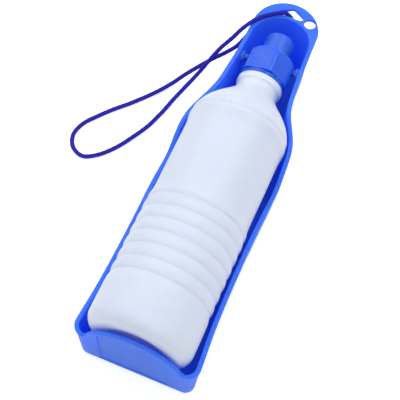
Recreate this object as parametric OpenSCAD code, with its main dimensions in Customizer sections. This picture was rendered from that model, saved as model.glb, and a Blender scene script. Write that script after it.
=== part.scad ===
// Dog travel water bottle: a soft squeeze bottle that lies in a drinking tray and swings out
// of it on two pins in its cap. Millimetres.
// The tray rests on z = 0. +Y runs from the bottle's base to the hanging tab, and x = 0 is the
// middle of the tray.

/* [Tray] */
// Overall length, from the end wall to the tip of the tab
tray_len = 271.5; // [250:0.5:300]
// Height of the trough's side rims
rim_h = 32; // [30:0.5:34]
// How far the side rims dip to the drinking edge
dip_h = 6; // [0:0.5:9]
// Height of the head's rim and the tab's top
head_h = 42.9; // [42:0.1:48]
// Height of the arched end wall
arch_h = 54; // [50:0.5:60]
// Wall thickness
wall_t = 1.8; // [1.4:0.1:2.2]
// Floor thickness
floor_t = 2.2; // [1.6:0.1:3]
// Thickness of the end wall
end_t = 2.5; // [2:0.1:3]
// Depth of the end wall's recessed panel
panel_d = 0.8; // [0.4:0.1:1.2]
// How far the rim stands out over the wall
lip_over = 1.2; // [0.8:0.1:1.6]
// Thickness of the rim's lip and the tab
lip_h = 2.5; // [2:0.1:3.5]
// Plan radius of the two corners beside the end wall
corner_r = 8; // [8:0.5:12]
// Draft angle of the side walls
draft_a = 3.5; // [2:0.5:4]

/* [Head and tab] */
// Inner radius of the pocket round the cap
pocket_r = 20; // [19:0.5:23]
// From the pocket's end to the tip of the tab
tab_reach = 14; // [12:0.5:18]
// Radius of the tab's round end
tab_r = 22.7; // [21:0.1:26]
// Diameter of the hanging hole
hang_d = 8.1; // [6:0.1:9]
// Side of the triangular cord hole nearest the pocket
cord_hole_w = 18; // [12:0.5:19]

/* [Pivot] */
// From the pivot to the tip of the tab
pivot_in = 50; // [46:0.5:56]
// Diameter of the cap's pivot pins
pin_d = 5; // [4:0.1:6]
// Radial play of a pin in its bore
pin_play = 0.05; // [0.03:0.01:0.1]
// Diameter of the bosses inside the tray's walls
boss_d = 7.6; // [7.2:0.1:10]

/* [Bottle] */
// Diameter of the bottle's widest band
bottle_d = 67; // [62:0.5:70]
// Wall thickness of the bottle
bottle_t = 1.2; // [0.8:0.1:1.6]
// Gap between the bottle's base and the end wall
base_gap = 2; // [2:0.1:4]
// Depth of a grip rib's groove
rib_depth = 0.9; // [0.4:0.1:1.4]
// Diameter of the threaded neck
finish_d = 25.2; // [24:0.1:26]

/* [Cap and spout] */
// Width of the cap across its flats
cap_af = 31; // [29:0.1:32]
// Length of the cap
cap_len = 23; // [20:0.1:24]
// Diameter of the spout
spout_d = 19.7; // [18:0.1:21]
// Length of the spout
spout_len = 16.2; // [15:0.1:19]
// Diameter of the cap's hollow stem
stem_d = 9; // [8:0.1:10]
// Diameter of the spout's mouth
mouth_d = 4.4; // [3.6:0.1:5]
// Thickness of the sealing gasket
gasket_t = 1.5; // [1:0.1:2]

/* [Lanyard] */
// Diameter of the cord
cord_d = 3; // [2.4:0.1:3.2]
// Diameter of the knot
knot_d = 9; // [8:0.1:10]

/* [Hidden] */
$fn = 96;

tray_blue = [0.27, 0.48, 0.95];
cap_blue = [0.27, 0.47, 0.93];
spout_blue = [0.22, 0.50, 0.85];
milk = [0.86, 0.89, 0.96];
seal_grey = [0.75, 0.76, 0.78];
cord_blue = [0.17, 0.17, 0.58];

// clearances
rest_gap = 0.3;        // bottle over the tray's floor, and between facing curved pieces
side_gap = 0.9;        // bottle to the rim at the straight part of the trough
run_play = 0.06;       // spout on the stem, radial
plug_play = 0.05;      // closing plug in the spout's mouth, radial
neck_play = 0.4;       // neck in the cap, radial

// where the main things lie
bottle_r = bottle_d / 2;
axis_z = floor_t + bottle_r + rest_gap;
pivot_y = tray_len - pivot_in;
lip_w = wall_t + lip_over;
trough_hw = bottle_r + side_gap + lip_w;
head_hw = pocket_r + lip_w;
base_y = end_t + base_gap;

// length stations were laid out for a neck that starts at ref_neck
ref_neck = 196;
neck_y = pivot_y - 25.5;
function ly(y) = y <= ref_neck ? y * neck_y / ref_neck : y + neck_y - ref_neck;

// ---- tray ----
// Rim stations: [length, width from head (0) to trough (1), height at the default sizes]
rim_rows = [
    [16, 1.146, 32.00], [22, 1.111, 32.00], [28, 1.083, 32.00], [34, 1.060, 32.00],
    [46, 1.030, 32.00], [58, 1.011, 32.00], [70, 0.999, 32.00], [82, 0.997, 32.00],
    [94, 1.000, 32.00], [98, 1.005, 31.91], [102, 1.013, 31.67], [106, 1.021, 31.30],
    [109, 1.025, 30.98], [112, 1.029, 30.60], [115, 1.033, 30.14], [118, 1.037, 29.60],
    [121, 1.041, 28.94], [124, 1.045, 28.20], [127, 1.050, 27.39], [130, 1.055, 26.70],
    [133, 1.059, 26.23], [136, 1.062, 26.00], [139, 1.065, 26.45], [142, 1.066, 27.40],
    [145, 1.065, 29.06], [148, 1.062, 31.00], [151, 1.059, 32.55], [154, 1.052, 33.80],
    [157, 1.041, 34.66], [160, 1.024, 35.30], [163, 0.999, 35.72], [166, 0.962, 36.10],
    [169, 0.907, 36.49], [172, 0.833, 37.00], [175, 0.733, 38.04], [178, 0.618, 39.40],
    [181, 0.497, 40.97], [184, 0.389, 42.20], [187, 0.313, 42.76], [190, 0.257, 42.90],
    [193, 0.217, 42.90], [196, 0.187, 42.90], [199, 0.165, 42.90], [202, 0.146, 42.90],
    [208, 0.111, 42.90], [214, 0.076, 42.90], [220, 0.049, 42.90], [226, 0.032, 42.90],
    [232, 0.014, 42.90]];
ref_rim = 32;          // rim height the rows were laid out for
ref_dip = 6;           // and the dip
ref_head = 42.9;       // and the head
corner_f = 1.181;      // width share where the corner arcs end

function row_hw(f) = head_hw + f * (trough_hw - head_hw);
function row_h(h) = h < ref_rim ? rim_h - (ref_rim - h) * dip_h / ref_dip
                                : rim_h + (h - ref_rim) * (head_h - rim_h) / (ref_head - ref_rim);

corner_hw = row_hw(corner_f);
corner_x = corner_hw - corner_r;
pocket_end = tray_len - tab_reach;
pocket_c = pocket_end - pocket_r;
tab_c = tray_len - tab_r;

// arched end wall: an arc through its top and its two springs
spring_x = corner_x - 1.8;
spring_z = rim_h + 1.2;
arch_rise = arch_h - spring_z;
arch_r = (spring_x * spring_x + arch_rise * arch_rise) / (2 * arch_rise);
arch_cz = arch_h - arch_r;
arch_a = asin(spring_x / arch_r);
arch_n = 30;
valley = 0.5;          // how far the valleys lie under the side rims
corner_n = 6;
head_n = 32;

// A station: [outer rim x, y, inner rim x, y, height, draft tangent, wall, height of no draft]
draft_t = tan(draft_a);
end_draft_t = tan(0.5);
end_st = concat(
    [[-corner_x, 0, -corner_x, end_t, rim_h - valley, end_draft_t, end_t, rim_h]],
    [[-corner_x + 0.9, 0, -corner_x + 0.9, end_t, rim_h + 0.1, end_draft_t, end_t, rim_h]],
    [for (i = [0:arch_n]) let (a = -arch_a + 2 * arch_a * i / arch_n, x = arch_r * sin(a))
        [x, 0, x, end_t, arch_cz + arch_r * cos(a), end_draft_t, end_t, rim_h]],
    [[corner_x - 0.9, 0, corner_x - 0.9, end_t, rim_h + 0.1, end_draft_t, end_t, rim_h]],
    [[corner_x, 0, corner_x, end_t, rim_h - valley, end_draft_t, end_t, rim_h]]);

function corner_st(i) = let (k = i / corner_n, a = 90 * k,
        ri = corner_r - (end_t + (lip_w - end_t) * k))
    [corner_x + corner_r * sin(a), corner_r - corner_r * cos(a),
     corner_x + ri * sin(a), corner_r - ri * cos(a), rim_h - valley * (1 - k),
     end_draft_t + (draft_t - end_draft_t) * k, end_t + (wall_t - end_t) * k, rim_h];

function side_st(r) = let (w = row_hw(r[1]), h = row_h(r[2]))
    [w, ly(r[0]), w - lip_w, ly(r[0]), h, draft_t, wall_t, h];

function head_st(i) = let (a = 180 * i / head_n)
    [tab_r * cos(a), tab_c + tab_r * sin(a), pocket_r * cos(a), pocket_c + pocket_r * sin(a),
     head_h, draft_t, wall_t, head_h];

mid_y = (pocket_c - 1 + tab_c) / 2;
right_st = concat([for (i = [1:corner_n]) corner_st(i)], [for (r = rim_rows) side_st(r)],
    [[tab_r + 0.15, mid_y, pocket_r + 0.02, pocket_c - 0.8, head_h, draft_t, wall_t, head_h]]);
function mirror_st(s) = [-s[0], s[1], -s[2], s[3], s[4], s[5], s[6], s[7]];
right_n = len(right_st);
st = concat(end_st, right_st, [for (i = [0:head_n]) head_st(i)],
    [for (i = [right_n - 1:-1:0]) mirror_st(right_st[i])]);
st_n = len(st);

// outward normal of the inner rim line at station i
function normal(i) = let (p = st[(i + st_n - 1) % st_n], q = st[(i + 1) % st_n],
        dx = q[2] - p[2], dy = q[3] - p[3], l = sqrt(dx * dx + dy * dy))
    [dy / l, -dx / l];

foot_r = 4;            // rounding between the walls and the underside
inner_r = 2.5;         // fillet between the walls and the floor
edge_r = 0.5;          // rounding of the rim's edges
// point at height z, a distance d outside the inner rim line
function at_in(s, n, d, z) = [s[2] + n[0] * d, s[3] + n[1] * d, z];
// point at height z, a share k of the rim's width inside its outer edge
function at_out(s, d, z) = let (dx = s[2] - s[0], dy = s[3] - s[1], l = sqrt(dx * dx + dy * dy))
    [s[0] + d * dx / l, s[1] + d * dy / l, z];
function level(s, n, j) = let (h = s[4], lean = s[5] * (s[7] - foot_r), t = s[6],
        lean_in = s[5] * (s[7] - floor_t - inner_r), over = s[0] == s[2] ? 0 : edge_r)
      j == 0 ? at_in(s, n, t - lean - foot_r, 0)
    : j == 1 ? at_in(s, n, t - lean - foot_r * 0.62, foot_r * 0.08)
    : j == 2 ? at_in(s, n, t - lean - foot_r * 0.29, foot_r * 0.29)
    : j == 3 ? at_in(s, n, t - lean - foot_r * 0.08, foot_r * 0.62)
    : j == 4 ? at_in(s, n, t - lean, foot_r)
    : j == 5 ? at_in(s, n, t, h - lip_h)
    : j == 6 ? at_out(s, over, h - lip_h + 0.01)
    : j == 7 ? at_out(s, 0, h - lip_h + edge_r)
    : j == 8 ? at_out(s, 0, h - edge_r)
    : j == 9 ? at_out(s, edge_r, h)
    : j == 10 ? at_in(s, n, edge_r, h)
    : j == 11 ? at_in(s, n, 0, h - edge_r)
    : j == 12 ? at_in(s, n, -lean_in, floor_t + inner_r)
    : j == 13 ? at_in(s, n, -lean_in - inner_r * 0.29, floor_t + inner_r * 0.29)
    : at_in(s, n, -lean_in - inner_r, floor_t);
level_n = 15;

module tray_shell() {
    pts = [for (j = [0:level_n - 1], i = [0:st_n - 1]) level(st[i], normal(i), j)];
    sides = [for (j = [0:level_n - 2], i = [0:st_n - 1]) let (k = (i + 1) % st_n)
        each [[j * st_n + i, (j + 1) * st_n + i, (j + 1) * st_n + k],
              [j * st_n + i, (j + 1) * st_n + k, j * st_n + k]]];
    under = [[for (i = [0:st_n - 1]) i]];
    floor_face = [[for (i = [st_n - 1:-1:0]) (level_n - 1) * st_n + i]];
    polyhedron(pts, concat(sides, under, floor_face));
}

// recessed panel in the end wall's outer face, in x and z
panel_hw = corner_x * 0.68;
panel_low = 5;
panel_rim = 2.5;       // width left round the panel
panel_r = arch_r - panel_rim;
module panel_cut() {
    a = asin(panel_hw / panel_r);
    n = 16;
    translate([0, panel_d, 0]) rotate([90, 0, 0]) linear_extrude(panel_d + 1)
        polygon(concat([[-panel_hw, panel_low], [panel_hw, panel_low]],
            [for (i = [0:n]) let (b = a - 2 * a * i / n)
                [panel_r * sin(b), arch_cz + panel_r * cos(b)]]));
}

// cord hole: a triangle with round corners, its base beside the pocket's wall
cord_hole_y = pocket_end + wall_t + 0.1;
cord_hole_tip = tray_len - 4.2;
cord_hole_r = 2;
module cord_hole_shape() {
    corners = [[-cord_hole_w / 2 + 2.3, cord_hole_y + cord_hole_r],
               [cord_hole_w / 2 - 2.3, cord_hole_y + cord_hole_r],
               [0, cord_hole_tip - cord_hole_r]];
    start = [120, 270, 60];
    turn = [150, 150, 60];
    n = 6;
    polygon([for (c = [0:2], i = [0:n]) let (a = start[c] + turn[c] * i / n)
        corners[c] + cord_hole_r * [cos(a), sin(a)]]);
}

// hanging hole, beside the middle of the tab on the right
hang_x = 14.1;
hang_y = pocket_end + 1.9;
bore_r = pin_d / 2 + pin_play;
boss_in = 18.2;        // inner end of a boss, from the middle
wall_x = row_hw(0.05) - lip_over;

// The flange round the pocket's end is the hanging tab. The room it fills starts just inside the
// wall's outer face, so the tab and the tray meet face to face all the way round.
tab_seat = 0.3;
tab_back = 7;          // from the pocket's end to the ends of the tab
module tab_room() {
    translate([0, 0, head_h - lip_h - 1]) linear_extrude(lip_h + 3) difference() {
        translate([-tab_r - 2, pocket_end - tab_back])
            square([2 * tab_r + 4, tab_back + tab_reach + 5]);
        translate([0, pocket_end - pocket_r]) circle(r = pocket_r + wall_t - tab_seat, $fn = 96);
    }
}

module hanging_tab() {
    color(tray_blue) difference() {
        intersection() {
            tray_shell();
            tab_room();
        }
        translate([hang_x, hang_y, head_h - lip_h - 1]) cylinder(d = hang_d, h = lip_h + 2);
        translate([0, 0, head_h - lip_h - 1]) linear_extrude(lip_h + 2) cord_hole_shape();
    }
}

module drinking_tray() {
    color(tray_blue) difference() {
        union() {
            tray_shell();
            for (s = [-1, 1]) translate([s * boss_in, pivot_y, axis_z]) rotate([0, s * 90, 0])
                cylinder(d = boss_d, h = wall_x - 0.8 - boss_in);
        }
        for (s = [-1, 1]) translate([s * (boss_in - 1), pivot_y, axis_z]) rotate([0, s * 90, 0])
            cylinder(r = bore_r, h = wall_x - boss_in + 3);
        tab_room();
        panel_cut();
    }
}

// ---- things turned about the bottle's axis ----
// profile points are [radius, length]
module turned(pts) {
    translate([0, 0, axis_z]) rotate([-90, 0, 0]) rotate_extrude() polygon(pts);
}
function ring_arc(cr, cy, r, a0, a1, n) =
    [for (i = [0:n]) let (a = a0 + (a1 - a0) * i / n) [cr + r * cos(a), cy + r * sin(a)]];

// ---- bottle ----
wide_r = bottle_r - 0.2;   // lower part, under the widest band
band_r = bottle_r - 1.5;   // smooth band between the ribs and the widest band
base_r = 9;                // rounding of the base's edge
rib_n = 7;
rib_first = 38.8;
rib_step = 8.95;
rib_crest = wide_r - 0.3;
neck_r = 14.2;
bead_r = 15.6;
finish_r = finish_d / 2;
lip_y = pivot_y - 0.5 - gasket_t;      // the neck's open end, against the gasket
bead_y = pivot_y - 22.5;
skirt_y = pivot_y - 17.9;              // where the cap starts
bead_end = skirt_y - rest_gap;

function rib(i) = let (y = rib_first + rib_step * i) [
    [rib_crest, ly(y - 3.4)], [rib_crest - rib_depth * 0.3, ly(y - 2.2)],
    [rib_crest - rib_depth * 0.85, ly(y - 0.9)], [rib_crest - rib_depth, ly(y)],
    [rib_crest - rib_depth * 0.85, ly(y + 0.9)], [rib_crest - rib_depth * 0.3, ly(y + 2.2)],
    [rib_crest, ly(y + 3.4)]];
// from the base's edge up to the neck
body_pts = concat(
    ring_arc(wide_r - base_r, base_y + base_r, base_r, -80, 0, 8),
    [[wide_r, ly(32.5)], [wide_r - 0.1, ly(34.4)]],
    [for (i = [0:rib_n - 1]) each rib(i)],
    [[band_r + 0.8, ly(97.4)], [band_r + 0.2, ly(98.8)], [band_r, ly(100.5)],
     [band_r - 0.1, ly(108)], [band_r + 0.1, ly(122)], [band_r + 0.2, ly(140)],
     [band_r + 0.1, ly(151)], [band_r + 0.25, ly(154.5)],
     [bottle_r - 0.7, ly(157.4)], [bottle_r - 0.2, ly(159.4)], [bottle_r, ly(161.4)],
     [bottle_r, ly(162.8)], [bottle_r - 0.15, ly(164.4)], [bottle_r - 0.5, ly(166.2)],
     [bottle_r - 1.1, ly(168.2)], [bottle_r - 2.2, ly(171)], [bottle_r - 3.7, ly(174)],
     [bottle_r - 6, ly(177)]]);
shoulder = bottle_r - 6 - neck_r;      // from the end of the body to the neck
shoulder_pts = [for (p = [[0.87, 180], [0.63, 183], [0.4, 186], [0.2, 188.8], [0.08, 191],
                          [0.02, 193.4]]) [neck_r + p[0] * shoulder * 0.93, ly(p[1])]];
stand_r = wide_r - base_r - 2.8;       // ring that the base stands on
outer_pts = concat([[0, base_y + 2.4], [stand_r - 7.5, base_y + 2], [stand_r - 2, base_y + 0.5],
                    [stand_r, base_y]],
    body_pts, shoulder_pts);
// the same line, moved inward by the wall
function off(p, q, r) = let (d = r - p, l = norm(d)) [q[0] - d[1] / l * bottle_t,
                                                      q[1] + d[0] / l * bottle_t];
on = len(outer_pts);
inner_pts = concat([[0, base_y + 2.4 + bottle_t]],
    [for (i = [1:on - 2]) off(outer_pts[i - 1], outer_pts[i], outer_pts[i + 1])]);
bore_neck = finish_r - 2.3;

module squeeze_bottle() {
    color(milk) turned(concat(outer_pts,
        [[neck_r, neck_y], [neck_r, bead_y - 0.6], [bead_r - 0.4, bead_y], [bead_r, bead_y + 0.5],
         [bead_r, bead_end - 0.5], [bead_r - 0.4, bead_end], [finish_r, bead_end],
         [finish_r, lip_y - 0.4], [finish_r - 0.4, lip_y], [bore_neck + 0.3, lip_y],
         [bore_neck, lip_y - 0.3], [bore_neck, neck_y], [neck_r - bottle_t - 0.2, neck_y - 2]],
        [for (i = [len(inner_pts) - 1:-1:0]) inner_pts[i]]));
}

// ---- cap ----
cap_top = skirt_y + cap_len;
cap_corner = cap_af / 2 + 1.6;
cavity_r = finish_r + neck_play;
ceiling_y = pivot_y - 0.5;
crown_y = cap_top - 2.5;               // inside of the cap's crown, round the stem
top_round = 5.5;
grip_y = skirt_y + 2.4;                // where the six flats start
cap_turn = 15;                         // one corner of the flats, from the top
stem_r = stem_d / 2;
stem_bore = stem_r - 1.7;
stem_end = cap_top + 10.8;
spout_y = cap_top + rest_gap;
spout_end = spout_y + spout_len;
plug_r = mouth_d / 2 - plug_play;
plug_end = spout_end - 1;
core_r = 1.5;
pin_end = wall_x - 1.3;                // just inside the tray's outer face
pin_root = cavity_r + 0.9;

module screw_cap() {
    color(cap_blue) difference() {
        union() {
            // base ring
            turned([[0, skirt_y], [bead_r - 0.4, skirt_y], [bead_r, skirt_y + 0.4],
                    [bead_r, grip_y - 0.3], [bead_r - 0.3, grip_y], [0, grip_y]]);
            // grip with six flats and a round top edge
            intersection() {
                translate([0, grip_y - 1, axis_z]) rotate([-90, 0, 0]) rotate([0, 0, 30 - cap_turn])
                    cylinder(r = cap_af / sqrt(3), h = cap_top - grip_y + 2, $fn = 6);
                turned(concat([[0, grip_y - 0.5], [cap_corner - 0.3, grip_y - 0.5],
                               [cap_corner, grip_y + 0.3]],
                    ring_arc(cap_corner - top_round, cap_top - top_round, top_round, 0, 80, 6),
                    [[cap_corner - top_round, cap_top], [0, cap_top]]));
            }
            // stem
            turned([[0, cap_top - 0.5], [stem_r, cap_top - 0.5], [stem_r, stem_end - 0.5],
                    [stem_r - 0.4, stem_end], [0, stem_end]]);
            // pivot pins
            for (s = [-1, 1]) translate([s * pin_root, pivot_y, axis_z]) rotate([0, s * 90, 0])
                cylinder(d = pin_d, h = pin_end - pin_root);
        }
        // room for the neck and the gasket, then the way into the stem
        turned([[0, skirt_y - 1], [cavity_r, skirt_y - 1], [cavity_r, ceiling_y],
                [stem_r + 3, ceiling_y], [stem_r + 1.5, crown_y], [0, crown_y]]);
        turned([[0, crown_y - 1], [stem_bore, crown_y - 1], [stem_bore, stem_end + 1],
                [0, stem_end + 1]]);
    }
    // closing plug, held in the stem by three ribs
    color(cap_blue) {
        turned([[0, stem_end - 6.5], [core_r, stem_end - 6.5], [core_r, stem_end + 1],
                [plug_r, stem_end + 1.7], [plug_r, plug_end - 0.5], [plug_r - 0.5, plug_end],
                [0, plug_end]]);
        for (a = [0, 120, 240]) translate([0, stem_end - 6.5, axis_z]) rotate([0, a, 0])
            translate([core_r - 0.4, 0, -0.4]) cube([stem_bore - core_r + 0.8, 5, 0.8]);
    }
}

// ---- spout ----
spout_r = spout_d / 2;
spout_bore = stem_r + run_play;
seat_y = stem_end + 1.9 + run_play;    // inside end of the spout's bore
skin = 1.7;
module push_pull_spout() {
    hollow_in = spout_bore + 1.7;
    color(spout_blue) turned(concat(
        [[spout_bore, spout_y], [hollow_in, spout_y], [hollow_in, seat_y],
         [spout_r - skin, seat_y], [spout_r - skin, spout_y], [spout_r - 0.3, spout_y],
         [spout_r, spout_y + 0.3]],
        ring_arc(spout_r - 2, spout_end - 2, 2, 0, 90, 6),
        [[mouth_d / 2 + 0.5, spout_end], [mouth_d / 2, spout_end - 0.5], [mouth_d / 2, seat_y],
         [spout_bore, seat_y]]));
}

// ---- gasket ----
module sealing_gasket() {
    color(seal_grey) turned([[bore_neck, lip_y], [cavity_r - 0.15, lip_y],
                             [cavity_r - 0.15, ceiling_y], [bore_neck, ceiling_y]]);
}

// ---- lanyard ----
knot_r = knot_d / 2;
knot_c = [-1.4, pocket_end + wall_t + knot_r + 0.7, head_h - lip_h - knot_r - 0.6];
module lanyard_knot() {
    color(cord_blue) {
        translate(knot_c) rotate_extrude($fn = 32) polygon(
            [for (i = [-4:4]) let (a = 22.5 * i) [knot_r * cos(a), knot_r * 0.92 * sin(a)]]);
        // the two cut ends
        for (t = [[-10, 26], [30, -16]]) translate(knot_c) rotate([180 + t[0], t[1], 0])
            cylinder(d = cord_d, h = knot_r + 5, $fn = 24);
    }
}

// Centre line of the loop: up through the triangular hole, left over the tab, down to the table,
// round and back under the head's rim to the knot. Offsets are from the tip of the tab.
tab_top = head_h + cord_d / 2;
lie = cord_d / 2 + 0.02;
way_rough = [
    [-1, -7.4, knot_c[2] + 2.2], [-1.9, -9.5, tab_top - 3.4], [-3.2, -10.5, tab_top - 1],
    [-5.5, -11.9, tab_top + 0.6], [-8.6, -13.8, tab_top + 0.95], [-12.4, -16.3, tab_top + 0.55],
    [-17, -20, tab_top + 0.25], [-21.8, -26, tab_top + 0.15], [-26.3, -34, tab_top - 0.9],
    [-31, -40.8, 38.4], [-36.6, -46, 31.4], [-41.6, -52.2, 23.5], [-46.6, -59.8, 15],
    [-52, -68.8, 8], [-57, -80.5, 3.6], [-61, -94, lie], [-65, -107, lie], [-71, -119.5, lie],
    [-78, -131.6, lie], [-86.8, -141.6, lie], [-95.6, -146.3, lie], [-104.4, -142.6, lie],
    [-108.8, -133.6, lie], [-106.7, -123.2, lie], [-100, -113.4, lie], [-92.6, -104.2, lie],
    [-84.6, -95.6, lie], [-77.4, -87, lie], [-70.4, -78, 1.8], [-63.2, -69, 4],
    [-56.2, -60.8, 8.4], [-48.6, -54.5, 14.2], [-41.2, -49.2, 19.9], [-34, -44.6, 24.9],
    [-27.8, -38.6, 28.9], [-24.2, -29.8, 31.5], [-21.2, -22, 32.8], [-16.2, -14.8, 33.4],
    [-9.6, -9.2, 33.8], [-3.8, -7.1, knot_c[2] - 0.4]];
way_end = len(way_rough) - 1;
// halfway point of the smooth line through four points
function between(i) = let (a = way_rough[max(i - 1, 0)], d = way_rough[min(i + 2, way_end)])
    (9 * (way_rough[i] + way_rough[i + 1]) - a - d) / 16;
way_fine = [for (i = [0:way_end]) each i < way_end ? [way_rough[i], between(i)] : [way_rough[i]]];
way = [for (p = way_fine) [p[0], tray_len + p[1], max(lie, p[2])]];
way_n = len(way);

cord_sides = 8;
function along(i) = let (a = way[max(i - 1, 0)], b = way[min(i + 1, way_n - 1)])
    (b - a) / norm(b - a);
// the ring's first direction is carried along the line, so the tube doesn't twist
function carry(i, u) = let (t = along(i), v = u - t * (u * t)) v / norm(v);
frames = [for (i = 0, u = carry(0, [0, 1, 0]); i < way_n;
               i = i + 1, u = i < way_n ? carry(i, u) : u) u];
module lanyard_cord() {
    r = cord_d / 2;
    pts = [for (i = [0:way_n - 1], k = [0:cord_sides - 1])
        let (u = frames[i], v = cross(along(i), u), a = 360 * (k + 0.5) / cord_sides)
        way[i] + r * (cos(a) * u + sin(a) * v)];
    sides = [for (i = [0:way_n - 2], k = [0:cord_sides - 1]) let (m = (k + 1) % cord_sides)
        each [[i * cord_sides + k, (i + 1) * cord_sides + k, (i + 1) * cord_sides + m],
              [i * cord_sides + k, (i + 1) * cord_sides + m, i * cord_sides + m]]];
    color(cord_blue) polyhedron(pts, concat(sides, [[for (k = [0:cord_sides - 1]) k]],
        [[for (k = [cord_sides - 1:-1:0]) (way_n - 1) * cord_sides + k]]));
}

// the length runs from -tray_len / 2 to tray_len / 2
module placed() { translate([0, -tray_len / 2, 0]) children(); }

placed() drinking_tray();
placed() hanging_tab();
placed() squeeze_bottle();
placed() screw_cap();
placed() push_pull_spout();
placed() sealing_gasket();
placed() lanyard_cord();
placed() lanyard_knot();
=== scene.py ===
import math

import bmesh
import bpy
import numpy as np
from mathutils import Matrix, Vector


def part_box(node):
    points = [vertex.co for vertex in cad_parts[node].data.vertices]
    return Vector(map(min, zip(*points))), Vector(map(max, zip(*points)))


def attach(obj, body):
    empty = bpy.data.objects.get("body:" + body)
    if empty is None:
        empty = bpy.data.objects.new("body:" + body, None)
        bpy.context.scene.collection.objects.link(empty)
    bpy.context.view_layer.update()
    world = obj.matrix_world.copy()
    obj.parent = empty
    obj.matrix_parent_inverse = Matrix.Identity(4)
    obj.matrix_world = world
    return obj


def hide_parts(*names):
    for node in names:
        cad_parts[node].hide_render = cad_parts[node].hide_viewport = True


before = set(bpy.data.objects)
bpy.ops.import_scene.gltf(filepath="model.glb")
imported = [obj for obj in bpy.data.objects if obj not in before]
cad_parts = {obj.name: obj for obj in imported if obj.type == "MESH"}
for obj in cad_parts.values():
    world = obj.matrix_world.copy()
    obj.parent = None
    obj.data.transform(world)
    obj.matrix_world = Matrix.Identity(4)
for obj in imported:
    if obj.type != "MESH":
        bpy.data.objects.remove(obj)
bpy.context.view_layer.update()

bl_info = {
    "name": "Dog travel water bottle",
    "version": (1, 0, 0),
    "blender": (4, 5, 0),
    "location": "View3D > Sidebar > Travel bottle",
    "description": "Dresses the drinking tray, squeeze bottle, cap, spout and cord",
    "category": "Object",
}

MM = 0.001
TRAY_LOW, TRAY_HIGH = (Vector(p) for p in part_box("drinking_tray"))
TAB_HIGH = Vector(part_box("hanging_tab")[1])
BOTTLE_LOW, BOTTLE_HIGH = (Vector(p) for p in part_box("squeeze_bottle"))
HALF = (TAB_HIGH.y - TRAY_LOW.y) / 2 / MM           # half the length from base to tab, mm


# ---------------------------------------------------------------- settings

def length(name, text, value, low=0.0, high=400.0):
    """A size in millimetres."""
    return bpy.props.FloatProperty(name=name, description=text, default=value, min=low, max=high)


def shade(name, text, code):
    """A colour, given as an sRGB hex code and kept linear."""
    return bpy.props.FloatVectorProperty(name=name, description=text, subtype="COLOR", size=4,
                                         default=linear(code), min=0.0, max=1.0)


def linear(code):
    """sRGB hex code to linear RGBA."""
    out = []
    for k in (0, 2, 4):
        c = int(code[k:k + 2], 16) / 255
        out.append(c / 12.92 if c <= 0.04045 else ((c + 0.055) / 1.055) ** 2.4)
    return (*out, 1.0)


class BottleSizes(bpy.types.PropertyGroup):
    """Sizes in millimetres, measured from the tray's base end and underside."""
    tray_len: length("Tray length", "Base end to the tip of the tab", 2 * HALF)
    rim_h: length("Rim height", "Side rims beside the bottle", 32.0)
    head_h: length("Head height", "Rim of the head and top of the tab", 42.9)
    arch_h: length("Arch height", "Top of the arched end wall", (TRAY_HIGH.z - TRAY_LOW.z) / MM)
    wall_t: length("Wall", "Thickness of the tray's walls", 1.8)
    floor_t: length("Floor", "Thickness of the tray's floor", 2.2)
    end_t: length("End wall", "Thickness of the arched end wall", 2.5)
    lip_over: length("Lip", "How far the rim stands out over the wall", 1.2)
    lip_h: length("Lip height", "Thickness of the rim's lip and the tab", 2.5)
    hang_d: length("Hanging hole", "Diameter of the hole in the tab", 8.1)
    axis_z: length("Axis height", "Height of the bottle's axis", 36.0)
    pivot_y: length("Pivot", "Distance of the pivot from the base end", 221.5)
    bottle_d: length("Bottle", "Diameter of the widest band",
                     (BOTTLE_HIGH.x - BOTTLE_LOW.x) / MM)
    rib_count: bpy.props.IntProperty(name="Ribs", description="Number of grip grooves",
                                     default=7, min=0, max=20)
    rib_pitch: length("Rib pitch", "From one grip groove to the next", 8.95)
    rib_depth: length("Rib depth", "Depth of a grip groove", 0.85)
    cap_flats: length("Cap", "Width across the cap's flats", 31.0)
    cap_len: length("Cap length", "From the cap's skirt to its top", 23.0)
    spout_d: length("Spout", "Diameter of the spout", 19.7)
    spout_len: length("Spout length", "Length of the spout", 16.2)
    cord_d: length("Cord", "Diameter of the cord", 3.0)


class BottleColours(bpy.types.PropertyGroup):
    """Colours of the finishes."""
    tray: shade("Tray", "Dyed polypropylene of the tray", "548eff")
    cap: shade("Cap", "Dyed polypropylene of the cap", "1b5adc")
    spout: shade("Spout", "Dyed polyethylene of the spout", "2a62dc")
    bottle: shade("Bottle", "Milky low-density polyethylene", "e2ebff")
    gasket: shade("Gasket", "Silicone rubber", "c4c8cc")
    cord: shade("Cord", "Dyed polyester braid", "1e18a0")
    floor: shade("Floor", "Table and backdrop", "ffffff")


def sizes():
    """The sizes that the panel shows."""
    return bpy.context.scene.bottle_sizes


def colours():
    """The colours that the panel shows."""
    return bpy.context.scene.bottle_colours


# ---------------------------------------------------------------- small helpers

def add(tree, kind, inputs=None, **settings):
    """Add a node, set its settings, and fill its inputs with values or links."""
    made = tree.nodes.new(kind)
    for key, value in settings.items():
        setattr(made, key, value)
    for key, value in (inputs or {}).items():
        if isinstance(value, bpy.types.NodeSocket):
            tree.links.new(value, made.inputs[key])
        else:
            made.inputs[key].default_value = value
    return made


def in_frame(points):
    """Millimetres, with lengths from the tray's base end, as metres in the shared frame."""
    return (np.asarray(points, float) - (0, HALF, 0)) * MM


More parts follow.
